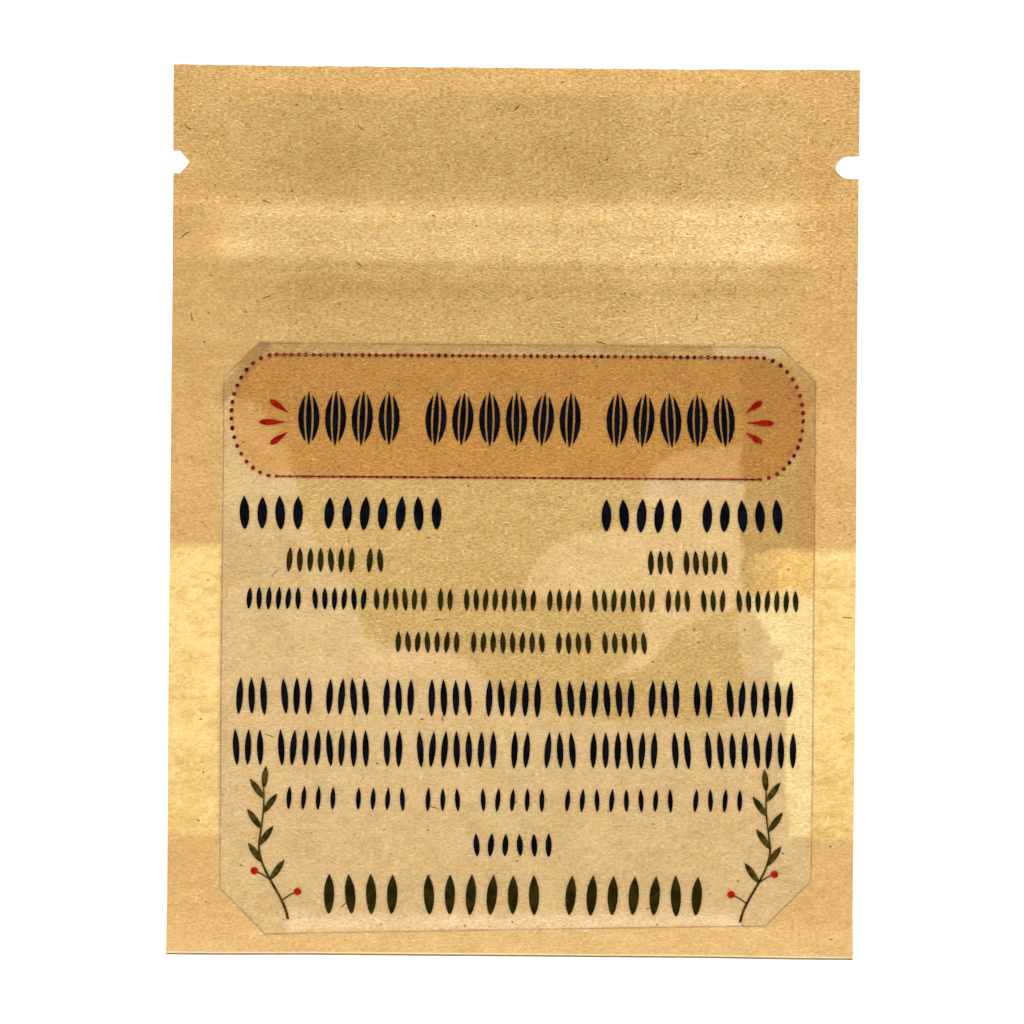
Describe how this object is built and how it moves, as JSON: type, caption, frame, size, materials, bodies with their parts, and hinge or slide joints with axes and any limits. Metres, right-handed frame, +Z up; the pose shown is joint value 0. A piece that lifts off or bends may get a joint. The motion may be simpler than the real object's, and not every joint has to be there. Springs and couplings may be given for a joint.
{
  "type": "kraft paper pouch of ground anise",
  "caption": "Small flat kraft paper pouch of ground anise with a press-to-close zip, tear notches, a clear label and a clear strip in its back, lying label up.",
  "frame": {"origin": "on the surface that the pouch lies on, under the middle of the pouch", "axes": "+X across the pouch to the right of the label, +Y towards the zip and the tear notches, +Z up out of the label"},
  "size_m": [0.07, 0.0906, 0.0036],
  "materials": {
    "kraft_paper": "brown kraft paper with short fibres, matt outside and sealed inside",
    "window_film": "clear soft plastic film",
    "label_film": "clear printed label film",
    "ground_anise": "dull brown ground seed",
    "dark_ink": "near-black printing ink",
    "green_ink": "dark olive printing ink",
    "red_ink": "red printing ink"
  },
  "bodies": {
    "root": {"pouch": "kraft_paper", "window": "window_film", "label": "label_film"}
  },
  "joints": []
}
